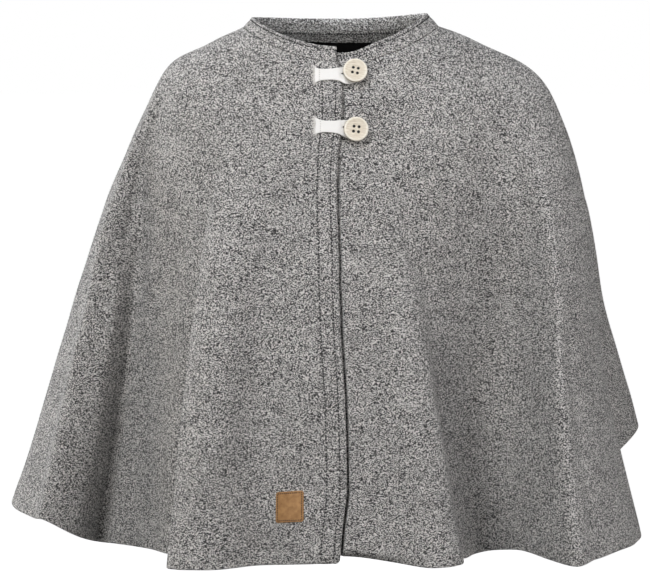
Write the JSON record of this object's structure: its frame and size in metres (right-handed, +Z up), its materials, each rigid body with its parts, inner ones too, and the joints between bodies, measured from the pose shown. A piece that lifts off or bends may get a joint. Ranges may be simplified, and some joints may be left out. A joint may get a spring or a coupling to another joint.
{
  "type": "button-front wool poncho cape",
  "caption": "Short flared poncho cape of felted grey wool, standing open as if worn, with a neck band, tab loops over wooden buttons at the front and a plain leather patch.",
  "frame": {"origin": "middle of the neck opening at the height where the neck band meets the shoulder line, which is where shoulders carry the cape", "axes": "+Z up, -Y towards the buttoned front, +X to the right as the cape is seen from the front (the wearer's left)"},
  "size_m": [0.7335, 0.4518, 0.5863],
  "materials": {
    "wool": "felted grey melange wool with a short nap",
    "tape": "undyed cotton webbing with frayed ends",
    "button_wood": "pale turned wood, waxed",
    "patch_leather": "tan leather, matt, fine grain",
    "label": "plain black woven tape"
  },
  "bodies": {
    "root": {"right_front": "wool", "left_front": "wool", "back": "wool", "neck_band": "wool", "tab_loop_upper": "tape", "tab_loop_lower": "tape", "button_upper": "button_wood", "button_lower": "button_wood", "leather_patch": "patch_leather", "neck_label": "label"}
  },
  "joints": []
}
